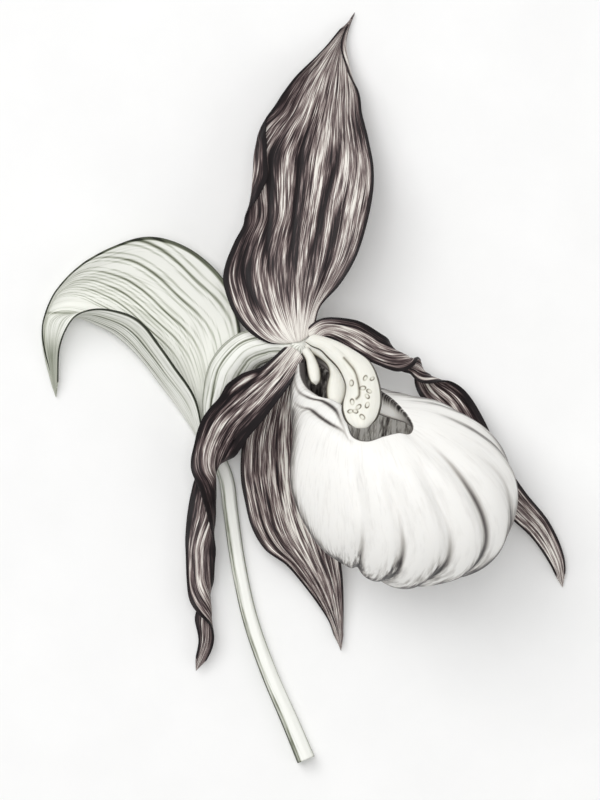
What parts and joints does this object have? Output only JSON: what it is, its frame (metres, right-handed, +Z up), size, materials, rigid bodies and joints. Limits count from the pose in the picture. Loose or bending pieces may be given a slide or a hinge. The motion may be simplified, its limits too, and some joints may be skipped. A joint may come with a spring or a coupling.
{
  "type": "cut lady's-slipper orchid flower on its stem",
  "caption": "Cut lady's-slipper orchid lying on its back: pouched lip, twisted petals, broad dorsal sepal, bract and stem.",
  "frame": {"origin": "middle of the bounding box, on the surface that the flower lies on", "axes": "+Y from the cut end of the stem towards the dorsal sepal's tip, +X towards the right petal, +Z up, out of the lip's front"},
  "size_m": [0.0844, 0.1208, 0.0342],
  "materials": {
    "stem_green": "satin, finely ribbed",
    "bract_green": "satin, parallel veins",
    "ovary_green": "satin, ribbed",
    "sepal_maroon": "satin with dark veins and light streaks",
    "petal_maroon": "satin with dark veins and light streaks",
    "lip_ivory": "smooth, waxy",
    "column_cream": "smooth, waxy",
    "staminode_cream": "smooth, waxy, small spots",
    "anther_cream": "matte"
  },
  "bodies": {
    "root": {"stem": "stem_green", "bract": "bract_green", "ovary": "ovary_green", "dorsal_sepal": "sepal_maroon", "synsepal": "sepal_maroon", "petal_left": "petal_maroon", "petal_right": "petal_maroon", "lip": "lip_ivory", "column": "column_cream", "staminode": "staminode_cream", "anther_left": "anther_cream", "anther_right": "anther_cream"}
  },
  "joints": []
}
